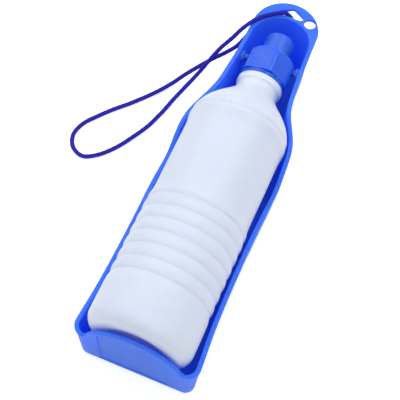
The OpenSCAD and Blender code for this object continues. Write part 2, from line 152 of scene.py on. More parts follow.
def mesh_object(name, points, faces, uv=None):
    """Make an object from points in millimetres, with lengths from the tray's base end."""
    mesh = bpy.data.meshes.new(name)
    mesh.from_pydata(in_frame(points).tolist(), [], faces)
    if uv is not None:
        layer = mesh.uv_layers.new(name="along")
        corner = np.zeros(len(mesh.loops), int)
        mesh.loops.foreach_get("vertex_index", corner)
        layer.data.foreach_set("uv", np.asarray(uv, np.float32)[corner].ravel())
    mesh.validate()
    obj = bpy.data.objects.new(name, mesh)
    bpy.context.scene.collection.objects.link(obj)
    return obj


def ring_faces(rings, around, closed_loop=False):
    """Quads between rings of points, joined last to first or else capped at both ends."""
    faces = []
    for j in range(rings if closed_loop else rings - 1):
        k = (j + 1) % rings
        for i in range(around):
            m = (i + 1) % around
            faces.append((j * around + i, j * around + m, k * around + m, k * around + i))
    if not closed_loop:
        faces.append(tuple(range(around - 1, -1, -1)))
        faces.append(tuple((rings - 1) * around + k for k in range(around)))
    return faces


def tidy_normals(obj):
    """Merge doubles and turn every face outwards."""
    shape = bmesh.new()
    shape.from_mesh(obj.data)
    bmesh.ops.remove_doubles(shape, verts=shape.verts, dist=1e-6)
    bmesh.ops.dissolve_degenerate(shape, edges=shape.edges, dist=1e-7)
    bmesh.ops.recalc_face_normals(shape, faces=shape.faces)
    shape.to_mesh(obj.data)
    shape.free()
    obj.data.update()


def smooth(obj, angle):
    """Shade smooth, with edges past the angle kept sharp."""
    shape = bmesh.new()
    shape.from_mesh(obj.data)
    limit = math.radians(angle)
    for face in shape.faces:
        face.smooth = True
    for edge in shape.edges:
        edge.smooth = len(edge.link_faces) == 2 and edge.calc_face_angle(0.0) < limit
    shape.to_mesh(obj.data)
    shape.free()


def settle(obj):
    """Turn an object's modifiers into plain mesh."""
    bpy.context.view_layer.update()
    solved = obj.evaluated_get(bpy.context.evaluated_depsgraph_get())
    mesh = bpy.data.meshes.new_from_object(solved)
    mesh.name = obj.data.name
    obj.modifiers.clear()
    obj.data = mesh
    return obj


def join(name, parts):
    """Join objects into a new one of this name, and remove them."""
    shape = bmesh.new()
    for part in parts:
        shape.from_mesh(part.data)
    mesh = bpy.data.meshes.new(name)
    shape.to_mesh(mesh)
    shape.free()
    keep = bpy.data.objects.new(name, mesh)
    bpy.context.scene.collection.objects.link(keep)
    for part in parts:
        bpy.data.objects.remove(part)
    return keep


def even_normals(obj):
    """Let large flat faces lead the shading next to small roundings."""
    mod = obj.modifiers.new("even", "WEIGHTED_NORMAL")
    mod.keep_sharp = True
    return settle(obj)


def finish_piece(obj, material, body, slot, *nodes):
    """Give a piece its material and body, and hide the CAD nodes that it stands for; the slot is
    not used.
    """
    obj.data.materials.clear()
    obj.data.materials.append(material)
    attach(obj, body)
    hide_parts(*nodes)


def arc(cx, cy, r, a0, a1, n):
    """Points on an arc, in degrees, both ends included."""
    return [(cx + r * math.cos(math.radians(a0 + (a1 - a0) * i / n)),
             cy + r * math.sin(math.radians(a0 + (a1 - a0) * i / n))) for i in range(n + 1)]


def curve_through(points, step):
    """A smooth line through points (centripetal Catmull-Rom), resampled at an even step."""
    p = np.asarray(points, float)
    q = np.vstack([2 * p[0] - p[1], p, 2 * p[-1] - p[-2]])
    out = []
    for i in range(1, len(q) - 2):
        t0 = 0.0
        t1 = t0 + np.linalg.norm(q[i] - q[i - 1]) ** 0.5
        t2 = t1 + np.linalg.norm(q[i + 1] - q[i]) ** 0.5
        t3 = t2 + np.linalg.norm(q[i + 2] - q[i + 1]) ** 0.5
        for t in np.linspace(t1, t2, 24, endpoint=False):
            a1 = (t1 - t) / (t1 - t0) * q[i - 1] + (t - t0) / (t1 - t0) * q[i]
            a2 = (t2 - t) / (t2 - t1) * q[i] + (t - t1) / (t2 - t1) * q[i + 1]
            a3 = (t3 - t) / (t3 - t2) * q[i + 1] + (t - t2) / (t3 - t2) * q[i + 2]
            b1 = (t2 - t) / (t2 - t0) * a1 + (t - t0) / (t2 - t0) * a2
            b2 = (t3 - t) / (t3 - t1) * a2 + (t - t1) / (t3 - t1) * a3
            out.append((t2 - t) / (t2 - t1) * b1 + (t - t1) / (t2 - t1) * b2)
    out.append(p[-1])
    fine = np.asarray(out)
    run = np.concatenate([[0], np.cumsum(np.linalg.norm(np.diff(fine, axis=0), axis=1))])
    n = max(2, int(round(run[-1] / step)) + 1)
    at = np.linspace(0, run[-1], n)
    return np.column_stack([np.interp(at, run, fine[:, k]) for k in range(3)])


# ---------------------------------------------------------------- materials

def grain(size):
    """The noise scale at which one grain is this many millimetres wide."""
    return 1 / (size * MM)


def new_material(name):
    """A material with one Principled shader, its node tree and that shader."""
    mat = bpy.data.materials.new(name)
    mat.use_nodes = True
    tree = mat.node_tree
    tree.nodes.clear()
    shader = add(tree, "ShaderNodeBsdfPrincipled")
    add(tree, "ShaderNodeOutputMaterial", {"Surface": shader.outputs["BSDF"]})
    return mat, tree, shader


def mottled(tree, colour, patch, amount):
    """The colour with a faint, slow change of depth over patches of a size in millimetres."""
    where = add(tree, "ShaderNodeTexCoord").outputs["Object"]
    noise = add(tree, "ShaderNodeTexNoise", {"Vector": where, "Scale": grain(patch),
                                             "Detail": 3.0})
    darker = tuple(c * (1 - amount) for c in colour[:3]) + (1.0,)
    ramp = add(tree, "ShaderNodeValToRGB", {"Fac": noise.outputs["Fac"]})
    ramp.color_ramp.elements[0].position = 0.3
    ramp.color_ramp.elements[1].position = 0.7
    ramp.color_ramp.elements[0].color = darker
    ramp.color_ramp.elements[1].color = colour
    return ramp.outputs["Color"], where


def let_through(tree, shader, dyed, share):
    """A thin wall passes this share of its light on to the far side, in the dye's colour."""
    through = add(tree, "ShaderNodeBsdfTranslucent", {"Color": dyed})
    both_ways = add(tree, "ShaderNodeMixShader", {0: share, 1: shader.outputs["BSDF"],
                                                  2: through.outputs["BSDF"]})
    tree.links.new(both_ways.outputs["Shader"], tree.nodes["Material Output"].inputs["Surface"])


def moulded_polypropylene(name, colour, rough, gloss, thin=0.0):
    """Injection-moulded polypropylene: an even dye, a satin skin and a soft, wide gloss."""
    mat, tree, shader = new_material(name)
    dyed, where = mottled(tree, tuple(colour), 26.3, 0.05)
    tree.links.new(dyed, shader.inputs["Base Color"])
    # a mould's fine spark-eroded skin, and the slower change in how well it was polished
    skin = add(tree, "ShaderNodeTexNoise", {"Vector": where, "Scale": grain(0.526),
                                            "Detail": 2.0})
    slow = add(tree, "ShaderNodeTexNoise", {"Vector": where, "Scale": grain(11.1),
                                            "Detail": 2.0})
    span = add(tree, "ShaderNodeMapRange", {"Value": slow.outputs["Fac"], "From Min": 0.3,
                                            "From Max": 0.7, "To Min": rough - 0.05,
                                            "To Max": rough + 0.06})
    tree.links.new(span.outputs["Result"], shader.inputs["Roughness"])
    bump = add(tree, "ShaderNodeBump", {"Height": skin.outputs["Fac"], "Strength": 0.06,
                                        "Distance": 0.1 * MM})
    tree.links.new(bump.outputs["Normal"], shader.inputs["Normal"])
    shader.inputs["IOR"].default_value = 1.49
    shader.inputs["Specular IOR Level"].default_value = gloss
    shader.inputs["Subsurface Weight"].default_value = 0.7
    shader.inputs["Subsurface Radius"].default_value = (0.05, 0.25, 1.0)
    shader.inputs["Subsurface Scale"].default_value = 7 * MM
    if thin:
        let_through(tree, shader, dyed, thin)
    return mat


def milky_polyethylene(name, colour):
    """Blow-moulded low-density polyethylene: milky, waxy, light goes some way into it."""
    mat, tree, shader = new_material(name)
    dyed, where = mottled(tree, tuple(colour), 45.5, 0.03)
    tree.links.new(dyed, shader.inputs["Base Color"])
    # the skin waves a little over 10 mm or so, because it cools unevenly in the mould
    wave = add(tree, "ShaderNodeTexNoise", {"Vector": where, "Scale": grain(10.5),
                                            "Detail": 1.0})
    skin = add(tree, "ShaderNodeTexNoise", {"Vector": where, "Scale": grain(0.667),
                                            "Detail": 2.0})
    # the fine skin stands out most on the waves' crests
    both = add(tree, "ShaderNodeMath", {0: wave.outputs["Fac"], 1: skin.outputs["Fac"],
                                        2: skin.outputs["Fac"]}, operation="MULTIPLY_ADD")
    bump = add(tree, "ShaderNodeBump", {"Height": both.outputs["Value"], "Strength": 0.12,
                                        "Distance": 0.4 * MM})
    tree.links.new(bump.outputs["Normal"], shader.inputs["Normal"])
    shader.inputs["Roughness"].default_value = 0.46
    shader.inputs["IOR"].default_value = 1.51
    shader.inputs["Subsurface Weight"].default_value = 0.85
    shader.inputs["Subsurface Radius"].default_value = (1.0, 0.85, 0.6)
    shader.inputs["Subsurface Scale"].default_value = 4 * MM
    let_through(tree, shader, dyed, 0.15)
    return mat


def silicone_rubber(name, colour):
    """Pressed silicone: matt and slightly cloudy."""
    mat, tree, shader = new_material(name)
    dyed, _ = mottled(tree, tuple(colour), 8.33, 0.08)
    tree.links.new(dyed, shader.inputs["Base Color"])
    shader.inputs["Roughness"].default_value = 0.62
    shader.inputs["IOR"].default_value = 1.43
    shader.inputs["Subsurface Weight"].default_value = 0.2
    shader.inputs["Subsurface Scale"].default_value = 1 * MM
    return mat


def braided_polyester(name, colour):
    """Braided polyester cord, with painted shade: the gaps between the bundles are painted darker,
    and the bundles' crests keep the cord's colour.
    """
    mat, tree, shader = new_material(name)
    where = add(tree, "ShaderNodeAttribute", attribute_name="bundle")
    # painted shade: the cord's colour at 0.45, for the gaps between the bundles
    deep = tuple(c * 0.45 for c in tuple(colour)[:3]) + (1.0,)
    ramp = add(tree, "ShaderNodeValToRGB", {"Fac": where.outputs["Fac"]})
    ramp.color_ramp.elements[0].position = 0.1
    ramp.color_ramp.elements[0].color = deep
    ramp.color_ramp.elements[1].position = 0.75
    ramp.color_ramp.elements[1].color = tuple(colour)
    tree.links.new(ramp.outputs["Color"], shader.inputs["Base Color"])
    # single threads are about 0.1 mm; these are drawn at 0.25 mm so that they show
    space = add(tree, "ShaderNodeTexCoord").outputs["Object"]
    thread = add(tree, "ShaderNodeTexNoise", {"Vector": space, "Scale": grain(0.25),
                                              "Detail": 1.0})
    bump = add(tree, "ShaderNodeBump", {"Height": thread.outputs["Fac"], "Strength": 0.3,
                                        "Distance": 0.1 * MM})
    tree.links.new(bump.outputs["Normal"], shader.inputs["Normal"])
    shader.inputs["Roughness"].default_value = 0.75
    shader.inputs["IOR"].default_value = 1.55
    shader.inputs["Specular IOR Level"].default_value = 0.25
    return mat


# ---------------------------------------------------------------- stage

# Camera fitted to the photograph. Its focal length and the picture's width are in pixels.
FOCAL_PX, PICTURE_PX = 1006.76, 400
CAM_UP, CAM_SIDE, CAM_ROLL = (math.radians(a) for a in (61.62, 21.03, 2.13))
CAM_AIM = (-9.95, 126.34, 0.0)          # on the table, in mm from the tray's base end
CAM_FAR = 666.41                        # mm from there to the camera
SENSOR = 36.0                           # mm


def background_rays(tree):
    """1 on the rays that show the background: the camera's, and those off or through a piece."""
    path = add(tree, "ShaderNodeLightPath")
    seen = path.outputs["Is Camera Ray"]
    for kind in ("Is Glossy Ray", "Is Transmission Ray"):
        seen = add(tree, "ShaderNodeMath", {0: seen, 1: path.outputs[kind]},
                   operation="MAXIMUM").outputs["Value"]
    return seen


class BOTTLE_OT_stage(bpy.types.Operator):
    """Set up the camera, the pale floor and the soft studio light."""
    bl_idname = "travel_bottle.stage"
    bl_label = "Stage"

    def execute(self, context):
        scene = context.scene
        ahead = Vector((-math.sin(CAM_SIDE) * math.cos(CAM_UP),
                        math.cos(CAM_SIDE) * math.cos(CAM_UP), -math.sin(CAM_UP)))
        right = Vector((math.cos(CAM_SIDE), math.sin(CAM_SIDE), 0.0))
        up = right.cross(ahead)
        # the same two directions once the camera has rolled
        rolled = (right * math.cos(CAM_ROLL) + up * math.sin(CAM_ROLL),
                  up * math.cos(CAM_ROLL) - right * math.sin(CAM_ROLL))
        data = bpy.data.cameras.new("camera")
        data.sensor_width = SENSOR
        data.lens = SENSOR * FOCAL_PX / PICTURE_PX
        data.clip_start, data.clip_end = 0.01, 20.0
        camera = bpy.data.objects.new("camera", data)
        place = Matrix((*rolled, -ahead)).transposed().to_4x4()
        place.translation = Vector(in_frame(CAM_AIM)) - ahead * CAM_FAR * MM
        camera.matrix_world = place
        scene.collection.objects.link(camera)
        scene.camera = camera

        self.floor()
        self.lights(scene)
        self.surround(scene)
        scene.view_settings.view_transform = "Standard"
        return {"FINISHED"}

    def floor(self):
        """A wide white table that runs up into a backdrop."""
        side, back, tall, bend = 3000.0, 1600.0, 1800.0, 500.0
        line = [(-side, 0.0)] + arc(back - bend, bend, bend, -90, 0, 16) + [(back, tall)]
        points = [(x, HALF + y, z) for y, z in line for x in (-side, side)]
        faces = [(2 * i, 2 * i + 1, 2 * i + 3, 2 * i + 2) for i in range(len(line) - 1)]
        table = mesh_object("floor", points, faces)
        table.data.shade_smooth()
        mat = bpy.data.materials.new("white_table")
        mat.use_nodes = True
        tree = mat.node_tree
        tree.nodes.clear()
        # matt paper that is seen a little brighter than it is, so that it reads as white and
        # still takes the object's shadow
        glow_seen = 0.36
        paper = add(tree, "ShaderNodeBsdfDiffuse", {"Color": tuple(colours().floor)})
        lift = add(tree, "ShaderNodeMath", {0: background_rays(tree), 1: glow_seen},
                   operation="MULTIPLY")
        glow = add(tree, "ShaderNodeEmission", {"Strength": lift.outputs["Value"]})
        mixed = add(tree, "ShaderNodeAddShader", {0: paper.outputs["BSDF"],
                                                  1: glow.outputs["Emission"]})
        add(tree, "ShaderNodeOutputMaterial", {"Surface": mixed.outputs["Shader"]})
        table.data.materials.append(mat)

    def lights(self, scene):
        """Three round soft boxes: a wide key behind to the left, a fill high in front, and a
        small one behind to the right that edges the cap and the end of the tray."""
        # place, width and aim in metres, power in watts
        for name, at, size, power, aim in (
                ("key", (-0.6, 0.5, 1.0), 0.9, 4.6, (0.0, 0.02, 0.03)),
                ("fill", (0.1, -0.58, 1.2), 0.8, 4.3, (0.0, 0.0, 0.02)),
                ("edge", (0.36, 0.58, 1.02), 0.28, 3.2, (0.0, 0.08, 0.04))):
            data = bpy.data.lights.new(name, "AREA")
            data.shape = "DISK"
            data.size = size
            data.energy = power
            lamp = bpy.data.objects.new(name, data)
            lamp.location = at
            lamp.rotation_euler = (Vector(aim) - Vector(at)).to_track_quat("-Z", "Y").to_euler()
            scene.collection.objects.link(lamp)

    def surround(self, scene):
        """An even grey room that lights the object from all round and is seen as white."""
        world = bpy.data.worlds.new("studio")
        scene.world = world
        world.use_nodes = True
        tree = world.node_tree
        tree.nodes.clear()
        lighting, seen = 0.62, 1.0
        level = add(tree, "ShaderNodeMapRange", {"Value": background_rays(tree),
                                                 "To Min": lighting, "To Max": seen})
        sky = add(tree, "ShaderNodeBackground", {"Color": (1, 1, 1, 1),
                                                 "Strength": level.outputs["Result"]})
        add(tree, "ShaderNodeOutputWorld", {"Surface": sky.outputs["Background"]})


# ---------------------------------------------------------------- cord

KNOT_AT = Vector((-1.4, 264.5, 35.3))       # the knot's middle, close under the tab


def cord_route():
    """The cord's middle line in even steps, from the hole round the loop to the knot."""
    s = sizes()
    top = s.head_h + s.cord_d / 2
    lie = s.cord_d / 2 + 0.02
    step = 0.45
    # the route of the part's source: offsets from the tip of the tab, and the heights
    rows = [
        (-1, -7.4, KNOT_AT.z + 2.2), (-1.9, -9.5, top - 3.4), (-3.2, -10.5, top - 1),
        (-5.5, -11.9, top + 0.6), (-8.6, -13.8, top + 0.95), (-12.4, -16.3, top + 0.55),
        (-17, -20, top + 0.25), (-21.8, -26, top + 0.15), (-26.3, -34, top - 0.9),
        (-31, -40.8, 38.4), (-36.6, -46, 31.4), (-41.6, -52.2, 23.5), (-46.6, -59.8, 15),
        (-52, -68.8, 8), (-57, -80.5, 3.6), (-61, -94, lie), (-65, -107, lie),
        (-71, -119.5, lie), (-78, -131.6, lie), (-86.8, -141.6, lie), (-95.6, -146.3, lie),
        (-104.4, -142.6, lie), (-108.8, -133.6, lie), (-106.7, -123.2, lie),
        (-100, -113.4, lie), (-92.6, -104.2, lie), (-84.6, -95.6, lie), (-77.4, -87, lie),
        (-70.4, -78, 1.8), (-63.2, -69, 4), (-56.2, -60.8, 8.4), (-48.6, -54.5, 14.2),
        (-41.2, -49.2, 19.9), (-34, -44.6, 24.9), (-27.8, -38.6, 28.9), (-24.2, -29.8, 31.5),
        (-21.2, -22, 32.8), (-16.2, -14.8, 33.4), (-9.6, -9.2, 33.8),
        (-3.8, -7.1, KNOT_AT.z - 0.4)]
    way = curve_through([(x, s.tray_len + y, z) for x, y, z in rows], step)
    way[:, 2] = np.maximum(way[:, 2], lie)
    return way


def braided_tube(name, way, radius, sides):
    """A round braid along a line, and its length: two sets of bundles wind and cross."""
    ahead = np.gradient(way, axis=0)
    ahead /= np.linalg.norm(ahead, axis=1, keepdims=True)
    side = np.array([0.0, 1.0, 0.0])
    run = np.concatenate([[0], np.cumsum(np.linalg.norm(np.diff(way, axis=0), axis=1))])
    turns = np.arange(sides) * 2 * math.pi / sides
    bundles = 4          # that wind each way
    cell = 4.0           # mm along the cord in which the pattern repeats
    depth = 0.11         # mm between the bundles
    points, uv, lift = [], [], []
    for at, t, far in zip(way, ahead, run):
        side = side - t * side.dot(t)
        side /= np.linalg.norm(side)
        other = np.cross(t, side)
        one = np.cos(bundles * turns + 2 * math.pi * far / cell)
        two = np.cos(bundles * turns - 2 * math.pi * far / cell)
        high = 0.5 + 0.5 * np.maximum(one, two)
        r = radius - depth + depth * high
        points.append(at + r[:, None] * (np.cos(turns)[:, None] * side
                                         + np.sin(turns)[:, None] * other))
        uv.append(np.column_stack([turns / (2 * math.pi), np.full(sides, far * MM)]))
        lift.append(high)
    obj = mesh_object(name, np.vstack(points), ring_faces(len(way), sides), np.vstack(uv))
    # the bundles' height, which the cord's material turns into painted shade in the gaps between
    # them
    store = obj.data.attributes.new("bundle", "FLOAT", "POINT")
    store.data.foreach_set("value", np.concatenate(lift).astype(np.float32))
    obj.data.shade_smooth()
    return obj, run[-1]


class BOTTLE_OT_cord(bpy.types.Operator):
    """Braid the cord's loop and tie its knot under the tab."""
    bl_idname = "travel_bottle.cord"
    bl_label = "Cord and knot"

    def execute(self, context):
        s = sizes()
        finish = braided_polyester("navy_polyester_braid", colours().cord)
        way = cord_route()
        loop, long = braided_tube("cord_loop", way, s.cord_d / 2, 32)
        knot = self.knot()
        finish_piece(knot, finish, "tray", "lanyard_knot", "lanyard_knot")
        finish_piece(loop, finish, "tray", "lanyard_cord", "lanyard_cord")
        return {"FINISHED"}

    def knot(self):
        """Overhand knot: one closed three-lobed winding, with two cut ends below it."""
        turn = np.linspace(0, 2 * math.pi, 160, endpoint=False)
        size, flat, shift = 0.82, 1.35, Vector((0.9, 0.7, 0.8))
        wind = size * np.column_stack([np.sin(turn) + 2 * np.sin(2 * turn),
                                       np.cos(turn) - 2 * np.cos(2 * turn),
                                       -flat * np.sin(3 * turn)]) + np.array(KNOT_AT - shift)
        wound_r, end_r, sides = 1.3, 1.4, 20     # the winding is pulled tight, so it's thinner
        parts = [braided_tube("knot_winding", np.vstack([wind, wind[:1]]), wound_r, sides)[0]]
        for lean in ((2.4, -1.0, -4.6), (-2.0, 1.7, -4.6)):
            end = [tuple(KNOT_AT + Vector(lean) * k) for k in (0.3, 0.8, 1.3, 1.75)]
            parts.append(braided_tube("knot_end", curve_through(end, 0.4), end_r, sides)[0])
        return join("cord_knot", parts)


# ---------------------------------------------------------------- tray

# Rim stations from the base end to the head: length, half-width and height over the side rims,
# for a head that stands CLIMB over them. The dip is the edge that the dog drinks over.
CLIMB = 10.9
RIM = [
    (16, 39.5, 0.0), (22, 39.0, 0.0), (28, 38.6, 0.0), (34, 38.26, 0.0), (46, 37.83, 0.0),
    (58, 37.56, 0.0), (70, 37.39, 0.0), (82, 37.36, 0.0), (94, 37.4, 0.0), (98, 37.47, -0.09),
    (102, 37.59, -0.33), (106, 37.7, -0.7), (109, 37.76, -1.02), (112, 37.82, -1.4),
    (115, 37.88, -1.86), (118, 37.93, -2.4), (121, 37.99, -3.06), (124, 38.05, -3.8),
    (127, 38.12, -4.61), (130, 38.19, -5.3), (133, 38.25, -5.77), (136, 38.29, -6.0),
    (139, 38.34, -5.55), (142, 38.35, -4.6), (145, 38.34, -2.94), (148, 38.29, -1.0),
    (151, 38.25, 0.55), (154, 38.15, 1.8), (157, 37.99, 2.66), (160, 37.75, 3.3),
    (163, 37.39, 3.72), (166, 36.85, 4.1), (169, 36.06, 4.49), (172, 35.0, 5.0), (175, 33.56, 6.04),
    (178, 31.9, 7.4), (181, 30.16, 8.97), (184, 28.6, 10.2), (187, 27.51, 10.76), (190, 26.7, 10.9),
    (193, 26.12, 10.9), (196, 25.69, 10.9), (199, 25.38, 10.9), (202, 25.1, 10.9),
    (208, 24.6, 10.9), (214, 24.09, 10.9), (220, 23.71, 10.9), (226, 23.46, 10.9),
    (232, 23.2, 10.9)]
HEAD_Y, HEAD_HW = 236.0, 23.0       # where the rim runs into the head, and its half-width there
CORNER_R = 8.0                      # the base end's corners, seen from above
CORNER_HW = 40.0                    # half-width past the corners
ARCH_IN = 1.8                       # from the corner's start to the arch's spring
ARCH_UP = 1.2                       # from the side rims up to the arch's spring
# The valley between the arch and the corner: distance past the spring, height over the rims.
VALLEY = ((0.35, 0.62), (0.7, 0.18), (1.05, -0.12), (1.45, -0.33), (1.8, -0.42))
POCKET_R = 20.0                     # the head pocket's round end
POCKET_END = 257.5                  # its far end
TAB_R = 22.7                        # the tab's round end
FOOT_R = 4.0                        # between the walls and the underside
INNER_R = 2.5                       # between the walls and the floor
DRAFT, END_DRAFT = (math.tan(math.radians(a)) for a in (3.5, 0.5))    # sides and end wall
WALL_X = 22.52                      # the head's wall at the pivot, from the middle
BOSS_IN = 18.2                      # the pivot bosses' inner faces, from the middle
BOSS_D = 7.6
PIN_D = 5.0
PIN_PLAY = 0.05


def arch_circle():
    """Half-width at the springs, radius and centre height of the end wall's arch."""
    s = sizes()
    spring = CORNER_HW - CORNER_R - ARCH_IN
    rise = s.arch_h - s.rim_h - ARCH_UP
    radius = (spring ** 2 + rise ** 2) / (2 * rise)
    return spring, radius, s.arch_h - radius


def tray_stations():
    """Right half of the plan, from the middle of the end wall to the tip of the tab.

    Each row: outer rim x, y, inner rim x, y, height, draft, wall, height with no draft.
    """
    s = sizes()
    lip_w = s.wall_t + s.lip_over
    end_wall = [END_DRAFT, s.end_t, s.rim_h]
    arch_steps, corner_steps, tab_steps, rim_step = 40, 12, 32, 1.6
    rows = []
    spring, arch_r, arch_z = arch_circle()
    for a in np.linspace(0, math.asin(spring / arch_r), arch_steps + 1)[1:]:
        x = arch_r * math.sin(a)
        rows.append([x, 0, x, s.end_t, arch_z + arch_r * math.cos(a), *end_wall])
    for x, z in VALLEY:
        rows.append([spring + x, 0, spring + x, s.end_t, s.rim_h + z, *end_wall])
    corner_x, low = CORNER_HW - CORNER_R, VALLEY[-1][1]
    for k in np.linspace(0, 1, corner_steps + 1)[1:]:
        a = math.radians(90 * k)
        inner = CORNER_R - (s.end_t + (lip_w - s.end_t) * k)
        rows.append([corner_x + CORNER_R * math.sin(a), CORNER_R - CORNER_R * math.cos(a),
                     corner_x + inner * math.sin(a), CORNER_R - inner * math.cos(a),
                     s.rim_h + low * (1 - k) ** 2, END_DRAFT + (DRAFT - END_DRAFT) * k,
                     s.end_t + (s.wall_t - s.end_t) * k, s.rim_h])
    climb = (s.head_h - s.rim_h) / CLIMB
    side = [(w, y, s.rim_h + up * (climb if up > 0 else 1)) for y, w, up in RIM]
    line = curve_through([(CORNER_HW, CORNER_R, s.rim_h), *side, (HEAD_HW, HEAD_Y, s.head_h)],
                         rim_step)
    for w, y, h in line[1:-1]:
        rows.append([w, y, w - lip_w, y, h, DRAFT, s.wall_t, h])
    head = [s.head_h, DRAFT, s.wall_t, s.head_h]
    tab_y, pocket_y = s.tray_len - TAB_R, POCKET_END - POCKET_R
    for k in (0.25, 0.5, 0.75):
        rows.append([HEAD_HW + (TAB_R - HEAD_HW) * k, HEAD_Y + (tab_y - HEAD_Y) * k,
                     POCKET_R, HEAD_Y + (pocket_y - HEAD_Y) * k, *head])
    for a in np.radians(np.linspace(0, 90, tab_steps + 1)):
        rows.append([TAB_R * math.cos(a), tab_y + TAB_R * math.sin(a), POCKET_R * math.cos(a),
                     pocket_y + POCKET_R * math.sin(a), *head])
    middle = [0, 0, 0, s.end_t, s.arch_h, *end_wall]
    right = np.asarray(rows)
    left = right[:-1][::-1] * np.array([-1, 1, -1, 1, 1, 1, 1, 1])
    return np.vstack([[middle], right, left])


def tray_levels(stations):
    """Rings of points from the underside, over the rim and down to the floor."""
    s = sizes()
    outer_rim, inner_rim = stations[:, 0:2], stations[:, 2:4]
    h, draft, wall, upright = stations[:, 4:8].T
    along = np.roll(inner_rim, -1, axis=0) - np.roll(inner_rim, 1, axis=0)
    outward = np.column_stack([along[:, 1], -along[:, 0]])
    outward /= np.linalg.norm(outward, axis=1, keepdims=True)
    lean = draft * (upright - FOOT_R)
    lean_in = draft * (upright - s.floor_t - INNER_R)
    reach = np.linalg.norm(outer_rim - inner_rim, axis=1)
    inward = (inner_rim - outer_rim) / reach[:, None]
    over = np.clip((reach - wall) / s.lip_over, 0, 1)      # how much of a lip there is

    def ring(rim, way, off, z):
        """A ring at a height, this far from a rim line."""
        return np.column_stack([rim + way * np.reshape(off, (-1, 1)), z * np.ones(len(rim))])

    def from_inner(off, z):
        return ring(inner_rim, outward, off, z)

    def from_outer(off, z):
        return ring(outer_rim, inward, off, z)

    rings = [from_inner(wall - lean - FOOT_R * (1 - math.sin(a)), FOOT_R * (1 - math.cos(a)))
             for a in np.radians([0, 15, 30, 45, 60, 75, 90])]
    low = h - s.lip_h                             # the lip's underside
    fillet, edge, crown, inner = 0.6, 0.7, 0.9, 0.7
    for k in (0.25, 0.5, 0.75):
        rings.append(from_inner(wall - lean * (1 - k), FOOT_R + (low - 1.0 - FOOT_R) * k))
    # the small fillet under the lip
    for side, drop in ((0, 1), (0.3, 0.3), (0.6, 0)):
        rings.append(from_inner(wall + fillet * side * over, low - fillet * drop))
    # the lip's lower edge, outer edge and inner edge; no two rings lie at the same place
    rings.append(from_outer(edge * over, low + 0.02))
    for a in np.radians([30, 60, 90]):
        rings.append(from_outer(edge * (1 - math.sin(a)) * over,
                                low + 0.05 + edge * (1 - math.cos(a))))
    for a in np.radians([0, 22.5, 45, 67.5, 90]):
        rings.append(from_outer(crown * (1 - math.cos(a)), h - crown * (1 - math.sin(a))))
    for a in np.radians([0, 30, 60, 90]):
        rings.append(from_inner(inner * (1 - math.sin(a)), h - inner * (1 - math.cos(a))))
    # down the inside, and the fillet to the floor
    foot = s.floor_t + INNER_R
    for k in (0.3, 0.65):
        rings.append(from_inner(-lean_in * k, h - inner + (foot - h + inner) * k))
    for a in np.radians([0, 18, 36, 54, 72, 90]):
        rings.append(from_inner(-lean_in - INNER_R * (1 - math.cos(a)),
                                foot - INNER_R * math.sin(a)))
    return rings


def between(name, first, last):
    """A closed solid between two outlines with the same number of points."""
    solid = mesh_object(name, first + last, ring_faces(2, len(first)))
    tidy_normals(solid)
    return solid


def tube_across(name, side, near, far, outer, inner=0.0):
    """A tube or, with no inner radius, a rod along the pivot's axis, on one side of the tray."""
    s = sizes()
    sides, edge = 64, 0.25
    x0, x1 = sorted((side * near, side * far))
    line = [(outer - edge, x0), (outer, x0 + edge), (outer, x1 - edge), (outer - edge, x1)]
    if inner:
        line += [(inner + edge, x1), (inner, x1 - edge), (inner, x0 + edge), (inner + edge, x0)]
    turns = [2 * math.pi * i / sides for i in range(sides)]
    points = [(x, s.pivot_y + r * math.cos(a), s.axis_z + r * math.sin(a))
              for r, x in line for a in turns]
    obj = mesh_object(name, points, ring_faces(len(line), sides, bool(inner)))
    tidy_normals(obj)
    return obj


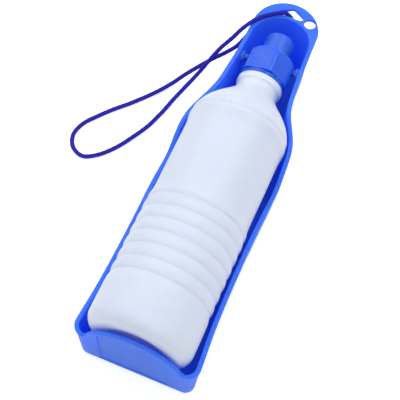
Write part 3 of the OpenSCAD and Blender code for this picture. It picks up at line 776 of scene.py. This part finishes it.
class BOTTLE_OT_tray(bpy.types.Operator):
    """Mould the drinking tray with its arched end, dipped rims, head pocket and tab."""
    bl_idname = "travel_bottle.tray"
    bl_label = "Drinking tray"

    def execute(self, context):
        stations = tray_stations()
        rings = tray_levels(stations)
        tray = mesh_object("tray_shell", np.vstack(rings), ring_faces(len(rings), len(stations)))
        tidy_normals(tray)

        bore = PIN_D / 2 + PIN_PLAY
        cutters = [self.hanging_hole(), self.cord_hole(), self.panel()]
        cutters += [tube_across("bore", side, WALL_X - 4, WALL_X + 2, bore) for side in (-1, 1)]
        for cutter in cutters:
            cut = tray.modifiers.new("cut", "BOOLEAN")
            cut.object = cutter
            cut.solver = "EXACT"
            cut.operation = "DIFFERENCE"
        settle(tray)
        for cutter in cutters:
            bpy.data.objects.remove(cutter)
        bosses = [tube_across("boss", side, BOSS_IN, WALL_X - 1.0, BOSS_D / 2, bore)
                  for side in (-1, 1)]
        tray = join("tray_shell", [tray] + bosses)
        smooth(tray, 38)
        even_normals(tray)
        plastic = moulded_polypropylene("blue_polypropylene", colours().tray, 0.34, 0.12, 0.38)
        finish_piece(tray, plastic, "tray", "drinking_tray", "drinking_tray", "hanging_tab")
        return {"FINISHED"}

    def through_tab(self, name, outline):
        """A cutter that goes through the tab, over an outline in x and y."""
        s = sizes()
        low, high = s.head_h - s.lip_h - 1, s.head_h + 1
        return between(name, [(x, y, low) for x, y in outline],
                       [(x, y, high) for x, y in outline])

    def hanging_hole(self):
        """The round hole for a hook, to the right of the tab's middle."""
        side, past_pocket = 14.1, 1.9
        outline = arc(side, POCKET_END + past_pocket, sizes().hang_d / 2, 0, 360, 72)[:-1]
        return self.through_tab("hanging_hole", outline)

    def cord_hole(self):
        """The cord's hole: a triangle with round corners that points to the tab's tip."""
        s = sizes()
        r, half = 2.0, 6.7
        low, tip = POCKET_END + s.wall_t + 0.1, s.tray_len - 4.2
        outline = arc(-half, low + r, r, 120, 270, 14) + arc(half, low + r, r, 270, 420, 14) \
            + arc(0, tip - r, r, 60, 120, 8)
        return self.through_tab("cord_hole", outline)

    def panel(self):
        """The shallow panel in the end wall's outer face, with its sloping edge."""
        _, arch_r, arch_z = arch_circle()
        front, deep, slope = -1.0, 0.8, 0.5          # the cut starts in front of the wall
        half_share, arch_rim, foot_rim = 0.68, 2.5, 5.0
        rings = []
        for y in (front, deep):
            flare = slope * (deep - y) / deep
            half = (CORNER_HW - CORNER_R) * half_share + flare
            r, low = arch_r - arch_rim + flare, foot_rim - flare
            a = math.degrees(math.asin(half / r))
            outline = [(half, low)] + arc(0, arch_z, r, 90 - a, 90 + a, 40) + [(-half, low)]
            rings.append([(x, y, z) for x, z in outline])
        return between("panel", *rings)


# ---------------------------------------------------------------- bottle

SKIRT_BACK = 17.9       # from the pivot back to the cap's skirt
BEAD_R = 15.6           # the neck's bead and the cap's skirt
BOTTLE_WALL = 1.2
BASE_Y = 4.5            # where the bottle's base stands, from the tray's base end
PUNT = 2.4              # how far the middle of the base is drawn in
FIRST_RIB = 38.8        # middle of the first grip groove, from the tray's base end
RIB_HALF = 3.9          # half the width of a grip groove


def bottle_profile():
    """(radius, length, rib share) from the base's middle, outside and back inside."""
    s = sizes()
    # the radius of the widest place, of the body low down and of the plain part over the ribs
    r = s.bottle_d / 2
    wide, band, base_r = r - 0.2, r - 1.5, 9.0
    ribs_from, ribs_to = 35.5, 95.2
    # the base with its drawn-in middle, the body, the ribs, the plain part and the shoulder
    outer = [(0.0, BASE_Y + PUNT), (5, BASE_Y + 2.38), (10, BASE_Y + 2.25), (14, BASE_Y + 1.9),
             (17, BASE_Y + 1.25), (19.5, BASE_Y + 0.45), (21.5, BASE_Y + 0.06)]
    outer += arc(wide - base_r, BASE_Y + base_r, base_r, -84, 0, 16)
    outer += [(wide, 20), (wide, 26), (wide, 31), (wide - 0.12, 33.5)]
    outer += [(wide - 0.3, y) for y in np.linspace(ribs_from, ribs_to, 200)]
    outer += [(band + 0.85, 95.9), (band + 0.6, 97), (band + 0.3, 98.2), (band + 0.1, 99.4),
              (band, 101), (band - 0.08, 105), (band - 0.1, 110), (band + 0.02, 118),
              (band + 0.12, 127), (band + 0.2, 138), (band + 0.15, 147), (band + 0.14, 151),
              (band + 0.22, 153.6), (band + 0.5, 155.6), (r - 0.55, 157.6), (r - 0.2, 159.3),
              (r - 0.02, 160.8), (r, 161.7), (r - 0.02, 162.3), (r - 0.05, 162.9),
              (r - 0.1, 163.6), (r - 0.2, 164.6), (r - 0.5, 166.2), (r - 1.1, 168.2),
              (r - 2.2, 171), (r - 3.7, 174), (r - 5.9, 177)]
    neck = 14.2
    drop = (r - 6 - neck) * 0.93
    outer += [(neck + k * drop, y) for k, y in ((0.87, 180), (0.63, 183), (0.4, 186), (0.2, 188.8),
                                                (0.08, 191), (0.02, 193.4))]
    # the soft crease that runs round the shoulder, just above its widest place
    crease_y, crease_half, crease_deep = 163.2, 1.3, 0.9
    outer = [(a - crease_deep * math.exp(-((y - crease_y) / crease_half) ** 2), y)
             for a, y in fair(outer)]
    rib_share = [1.0 if ribs_from - 0.5 < y < 96 else 0.0 for _, y in outer]
    out = [(*point, share) for point, share in zip(outer, rib_share)]
    # the neck with its bead, up to the mouth and back down inside it
    finish, bore, low = 12.6, 10.3, s.pivot_y - SKIRT_BACK - 0.3
    top, bead_y = s.pivot_y - 2.0, s.pivot_y - 22.5
    out += [(a, y, 0) for a, y in (
        (neck, 196.0), (neck, bead_y - 1.0), (neck + 0.3, bead_y - 0.5),
        (BEAD_R - 0.7, bead_y - 0.15), (BEAD_R - 0.2, bead_y + 0.15), (BEAD_R, bead_y + 0.7),
        (BEAD_R, low - 0.8), (BEAD_R - 0.2, low - 0.2), (BEAD_R - 0.8, low), (finish, low),
        (finish, top - 0.5), (finish - 0.15, top - 0.15), (finish - 0.5, top),
        (bore + 0.5, top), (bore + 0.1, top - 0.4), (bore, top - 1), (bore, 197.0),
        (finish, 194.0))]
    # back down inside the body, one wall within the outside
    pts = np.asarray(outer)
    for i in range(len(pts) - 2, 0, -1):
        d = pts[i + 1] - pts[i - 1]
        d *= BOTTLE_WALL / np.linalg.norm(d)
        if pts[i][0] >= d[1]:
            out.append((pts[i][0] - d[1], pts[i][1] + d[0], rib_share[i]))
    return out + [(0.0, BASE_Y + PUNT + BOTTLE_WALL, 0)]


def fair(line):
    """Average a line of (radius, length) a little, with its ends kept."""
    pts = np.asarray(line, float)
    for _ in range(3):
        mid = pts.copy()
        mid[1:-1, 0] = 0.5 * pts[1:-1, 0] + 0.25 * (pts[:-2, 0] + pts[2:, 0])
        pts = mid
    return [tuple(p) for p in pts]


def lathe_tree():
    """Geometry Nodes lathe: turns a line round the bottle's axis and presses the grip grooves."""
    groove_power = 1.9               # how narrow a groove is at its bottom
    tree = bpy.data.node_groups.new("ribbed_lathe", "GeometryNodeTree")
    face = tree.interface
    face.new_socket("Geometry", in_out="INPUT", socket_type="NodeSocketGeometry")
    for name, kind in (("Segments", "Int"), ("Rib count", "Int"), ("First rib", "Float"),
                       ("Rib pitch", "Float"), ("Rib depth", "Float"),
                       ("Rib half width", "Float"), ("Axis height", "Float"),
                       ("Material", "Material")):
        face.new_socket(name, in_out="INPUT", socket_type="NodeSocket" + kind)
    face.new_socket("Geometry", in_out="OUTPUT", socket_type="NodeSocketGeometry")
    given = add(tree, "NodeGroupInput").outputs

    def calc(operation, *inputs):
        """The result of one maths node."""
        made = add(tree, "ShaderNodeMath", dict(enumerate(inputs)), operation=operation)
        return made.outputs["Value"]

    rows = add(tree, "GeometryNodeAttributeDomainSize",
               {"Geometry": given["Geometry"]}).outputs["Point Count"]
    columns = calc("ADD", given["Segments"], 1.0)
    grid = add(tree, "GeometryNodeMeshGrid", {"Vertices X": columns, "Vertices Y": rows})
    index = add(tree, "GeometryNodeInputIndex").outputs["Index"]
    row = calc("MODULO", index, rows)
    column = calc("FLOOR", calc("DIVIDE", calc("ADD", index, 0.25), rows))
    angle = calc("MULTIPLY", calc("DIVIDE", column, given["Segments"]), 2 * math.pi)
    place = add(tree, "GeometryNodeInputPosition").outputs["Position"]
    line = add(tree, "GeometryNodeSampleIndex", {"Geometry": given["Geometry"], "Value": place,
                                                 "Index": row}, data_type="FLOAT_VECTOR")
    part = add(tree, "ShaderNodeSeparateXYZ", {"Vector": line.outputs["Value"]}).outputs
    # distance to the nearest groove, in metres
    step = calc("DIVIDE", calc("SUBTRACT", part["Y"], given["First rib"]), given["Rib pitch"])
    last = calc("SUBTRACT", given["Rib count"], 1.0)
    nearest = calc("MINIMUM", calc("MAXIMUM", calc("ROUND", step), 0.0), last)
    away = calc("MULTIPLY", calc("ABSOLUTE", calc("SUBTRACT", step, nearest)), given["Rib pitch"])
    near = add(tree, "ShaderNodeMapRange", {"Value": away, "From Max": given["Rib half width"],
                                            "To Min": 1.0, "To Max": 0.0}).outputs["Result"]
    notch = calc("POWER", near, groove_power)
    sunk = calc("MULTIPLY", calc("MULTIPLY", notch, given["Rib depth"]), part["Z"])
    radius = calc("SUBTRACT", part["X"], sunk)
    x = calc("MULTIPLY", radius, calc("SINE", angle))
    z = calc("ADD", calc("MULTIPLY", radius, calc("COSINE", angle)), given["Axis height"])
    at = add(tree, "ShaderNodeCombineXYZ", {"X": x, "Y": part["Y"], "Z": z}).outputs["Vector"]
    moved = add(tree, "GeometryNodeSetPosition", {"Geometry": grid.outputs["Mesh"], "Position": at})
    closed = add(tree, "GeometryNodeMergeByDistance", {"Geometry": moved.outputs["Geometry"],
                                                       "Distance": 1e-6})
    real = add(tree, "GeometryNodeRealizeInstances", {"Geometry": closed.outputs["Geometry"]})
    painted = add(tree, "GeometryNodeSetMaterial", {"Geometry": real.outputs["Geometry"],
                                                    "Material": given["Material"]})
    add(tree, "NodeGroupOutput", {"Geometry": painted.outputs["Geometry"]})
    return tree


class BOTTLE_OT_bottle(bpy.types.Operator):
    """Blow the milky squeeze bottle with its grip ribs, shoulder crease and neck."""
    bl_idname = "travel_bottle.bottle"
    bl_label = "Squeeze bottle"

    def execute(self, context):
        s = sizes()
        line = bottle_profile()
        # each point is (radius, length, rib share)
        mesh = bpy.data.meshes.new("bottle_line")
        mesh.from_pydata([(r * MM, (y - HALF) * MM, share) for r, y, share in line],
                         [(i, i + 1) for i in range(len(line) - 1)], [])
        bottle = bpy.data.objects.new("bottle_body", mesh)
        context.scene.collection.objects.link(bottle)
        plastic = milky_polyethylene("milky_polyethylene", colours().bottle)
        tree = lathe_tree()
        mod = bottle.modifiers.new("lathe", "NODES")
        mod.node_group = tree
        wanted = {"Segments": 200, "Rib count": s.rib_count,
                  "First rib": (FIRST_RIB - HALF) * MM, "Rib pitch": s.rib_pitch * MM,
                  "Rib depth": s.rib_depth * MM, "Rib half width": RIB_HALF * MM,
                  "Axis height": s.axis_z * MM, "Material": plastic}
        for item in tree.interface.items_tree:
            if item.in_out == "INPUT" and item.name in wanted:
                mod[item.identifier] = wanted[item.name]
        settle(bottle)
        tidy_normals(bottle)
        self.dent(bottle)
        smooth(bottle, 40)
        finish_piece(bottle, plastic, "bottle", "squeeze_bottle", "squeeze_bottle")
        return {"FINISHED"}

    def dent(self, bottle):
        """The soft hollow low on the right of the body, as a hand leaves it."""
        s = sizes()
        deep = 0.9
        at_turn, wide_turn = 22, 17                  # degrees round the axis
        at_y, wide_y = 17, 8
        r_from, r_over = 22, 8                       # it fades out towards the base's middle
        co = np.empty(len(bottle.data.vertices) * 3)
        bottle.data.vertices.foreach_get("co", co)
        x, y, z = (co.reshape(-1, 3) / MM + (0, HALF, -s.axis_z)).T
        r = np.hypot(x, z)
        across, along = (np.degrees(np.arctan2(x, z)) - at_turn) / wide_turn, (y - at_y) / wide_y
        depth = deep * np.exp(-across ** 2 - along ** 2) * np.clip((r - r_from) / r_over, 0, 1)
        share = (r - depth) / np.maximum(r, 1e-3)
        moved = in_frame(np.column_stack([x * share, y, z * share + s.axis_z]))
        bottle.data.vertices.foreach_set("co", moved.ravel())
        bottle.data.update()


# ---------------------------------------------------------------- cap and spout

CAVITY_R = 13.0         # the cap's inside, round the neck
STEM_R = 4.5            # the stem that the spout slides on
STEM_BORE = 2.8
STEM_OUT = 10.8         # the stem's length past the cap's top
SPOUT_GAP = 0.3         # between the cap's top and the pushed-in spout
CAP_TURN = 15.0         # how far the six flats are turned, in degrees


def cap_top():
    """The length at which the cap's top lies."""
    s = sizes()
    return s.pivot_y - SKIRT_BACK + s.cap_len


def turned(name, line, sides, closed_loop=True, radius=None):
    """Turn a line round the bottle's axis.

    Each row is a radius, a length and, where the radius varies with the angle, a true value.
    """
    s = sizes()
    turns = np.arange(sides) * 2 * math.pi / sides
    rings = []
    for r, y, *varies in line:
        r = radius(r, turns) if any(varies) else np.full(sides, r)
        rings.append(np.column_stack([r * np.sin(turns), np.full(sides, y),
                                      s.axis_z + r * np.cos(turns)]))
    obj = mesh_object(name, np.vstack(rings), ring_faces(len(rings), sides, closed_loop))
    tidy_normals(obj)
    return obj


class BOTTLE_OT_cap(bpy.types.Operator):
    """Mould the six-sided screw cap with its pivot pins, stem and closing plug."""
    bl_idname = "travel_bottle.cap"
    bl_label = "Screw cap"

    def execute(self, context):
        s = sizes()
        top, skirt, ceiling = cap_top(), s.pivot_y - SKIRT_BACK, s.pivot_y - 0.5
        crown, grip, stem_end = top - 2.5, skirt + 2.4, top + STEM_OUT
        corner, round_r = s.cap_flats / 2 + 1.6, 5.5     # between the flats, and up to the top

        def flats(limit, turns):
            """Radius of the six flats, softly held inside the limit."""
            part = (turns - math.radians(CAP_TURN + 30)) % (math.pi / 3)
            part = np.minimum(part, math.pi / 3 - part)
            flat = s.cap_flats / 2 / np.cos(part)
            soft = 0.5
            mix = np.clip(0.5 + 0.5 * (limit - flat) / soft, 0, 1)
            return limit + (flat - limit) * mix - soft * mix * (1 - mix)

        # the skirt's ring
        line = [(CAVITY_R + 0.4, skirt), (BEAD_R - 0.45, skirt), (BEAD_R - 0.12, skirt + 0.14),
                (BEAD_R, skirt + 0.5), (BEAD_R, grip - 0.55), (BEAD_R - 0.12, grip - 0.2),
                (BEAD_R - 0.35, grip - 0.03), (BEAD_R - 0.6, grip + 0.02)]
        # the six flats and the rounding to the top
        line += [(corner - 0.1, grip + 0.08, True)]
        line += [(corner, y, True) for y in np.linspace(grip + 0.4, top - round_r, 7)]
        line += [(r, y, True)
                 for r, y in arc(corner - round_r, top - round_r, round_r, 0, 90, 28)[1:]]
        # the stem, its bore and the cavity for the neck
        line += [(corner - round_r - 1.5, top), (STEM_R + 0.4, top), (STEM_R, top + 0.4),
                 (STEM_R, stem_end - 0.5), (STEM_R - 0.4, stem_end), (STEM_BORE + 0.3, stem_end),
                 (STEM_BORE, stem_end - 0.3), (STEM_BORE, crown), (STEM_R + 1.5, crown),
                 (STEM_R + 3, ceiling), (CAVITY_R, ceiling), (CAVITY_R, skirt + 0.4)]
        parts = [turned("cap_shell", line, 240, radius=flats)]
        pin_from, pin_short = 13.9, 1.3
        parts += [tube_across("pin", side, pin_from, WALL_X - pin_short, PIN_D / 2)
                  for side in (-1, 1)]
        parts += self.plug(stem_end, top + SPOUT_GAP + s.spout_len - 1.0)
        cap = join("cap_shell", parts)
        smooth(cap, 33)
        even_normals(cap)
        plastic = moulded_polypropylene("cap_polypropylene", colours().cap, 0.25, 0.32)
        finish_piece(cap, plastic, "cap", "screw_cap", "screw_cap")
        return {"FINISHED"}

    def plug(self, stem_end, plug_end):
        """The plug that closes the spout, on its thin shank, and the three spokes that hold it."""
        shank_r, plug_r = 1.5, 2.15
        foot_y = stem_end - 6.5
        line = [(shank_r, foot_y), (shank_r, stem_end + 0.8), (shank_r + 0.25, stem_end + 1.25),
                (plug_r, stem_end + 1.7), (plug_r, plug_end - 0.5),
                (plug_r - 0.15, plug_end - 0.15), (plug_r - 0.5, plug_end)]
        parts = [turned("plug", line, 48, closed_loop=False)]
        inner, outer, half, long = 1.1, 3.2, 0.4, 5.0
        for a in np.radians([0, 120, 240]):
            out = Vector((math.cos(a), 0, math.sin(a)))
            side = Vector((-math.sin(a), 0, math.cos(a)))
            ends = [[Vector((0, y, sizes().axis_z)) + out * r + side * w
                     for r, w in ((inner, -half), (outer, -half), (outer, half), (inner, half))]
                    for y in (foot_y, foot_y + long)]
            parts.append(between("spoke", *ends))
        return parts


class BOTTLE_OT_spout(bpy.types.Operator):
    """Mould the push-pull spout."""
    bl_idname = "travel_bottle.spout"
    bl_label = "Push-pull spout"

    def execute(self, context):
        s = sizes()
        past_stem = 1.96
        low, seat = cap_top() + SPOUT_GAP, cap_top() + STEM_OUT + past_stem
        high, r, bore = low + s.spout_len, s.spout_d / 2, STEM_R + 0.06
        mouth, skin, round_r = 2.2, 1.7, 2.2
        line = [(bore, low + 0.2), (bore + 0.2, low), (bore + skin, low), (bore + skin, seat),
                (r - skin, seat), (r - skin, low + 0.2), (r - skin + 0.2, low), (r - 0.5, low),
                (r - 0.15, low + 0.15), (r, low + 0.5), (r, low + 8), (r, high - round_r)]
        line += arc(r - round_r, high - round_r, round_r, 0, 90, 12)[1:]
        line += [(mouth + 0.7, high), (mouth + 0.2, high - 0.2), (mouth, high - 0.7),
                 (mouth, seat), (bore, seat)]
        spout = turned("spout_shell", line, 128)
        smooth(spout, 35)
        even_normals(spout)
        plastic = moulded_polypropylene("spout_polyethylene", colours().spout, 0.36, 0.4)
        finish_piece(spout, plastic, "spout", "push_pull_spout", "push_pull_spout")
        return {"FINISHED"}


class BOTTLE_OT_gasket(bpy.types.Operator):
    """Give the hidden seal its silicone."""
    bl_idname = "travel_bottle.gasket"
    bl_label = "Sealing gasket"

    def execute(self, context):
        ring = bpy.data.objects["sealing_gasket"]
        rubber = silicone_rubber("grey_silicone", colours().gasket)
        for place in ring.material_slots:
            place.material = rubber
        return {"FINISHED"}


# ---------------------------------------------------------------- panel and main

STEPS = (BOTTLE_OT_stage, BOTTLE_OT_cord, BOTTLE_OT_tray, BOTTLE_OT_bottle, BOTTLE_OT_cap,
         BOTTLE_OT_spout, BOTTLE_OT_gasket)


class BOTTLE_PT_panel(bpy.types.Panel):
    """The sizes, the colours and the steps that make the object."""
    bl_label = "Travel bottle"
    bl_idname = "BOTTLE_PT_panel"
    bl_space_type = "VIEW_3D"
    bl_region_type = "UI"
    bl_category = "Travel bottle"

    def draw(self, context):
        for group in (context.scene.bottle_sizes, context.scene.bottle_colours):
            box = self.layout.box()
            for name in group.__annotations__:
                box.prop(group, name)
        for step in STEPS:
            self.layout.operator(step.bl_idname)


CLASSES = (BottleSizes, BottleColours) + STEPS + (BOTTLE_PT_panel,)


def register():
    """Make the sizes, the colours, the steps and the panel known to Blender."""
    for cls in CLASSES:
        bpy.utils.register_class(cls)
    bpy.types.Scene.bottle_sizes = bpy.props.PointerProperty(type=BottleSizes)
    bpy.types.Scene.bottle_colours = bpy.props.PointerProperty(type=BottleColours)


def unregister():
    """Take them out again."""
    del bpy.types.Scene.bottle_colours
    del bpy.types.Scene.bottle_sizes
    for cls in reversed(CLASSES):
        bpy.utils.unregister_class(cls)


def main():
    """Make every piece in turn."""
    register()
    for step in STEPS:
        group, name = step.bl_idname.split(".")
        getattr(getattr(bpy.ops, group), name)()


if __name__ == "__main__":
    main()
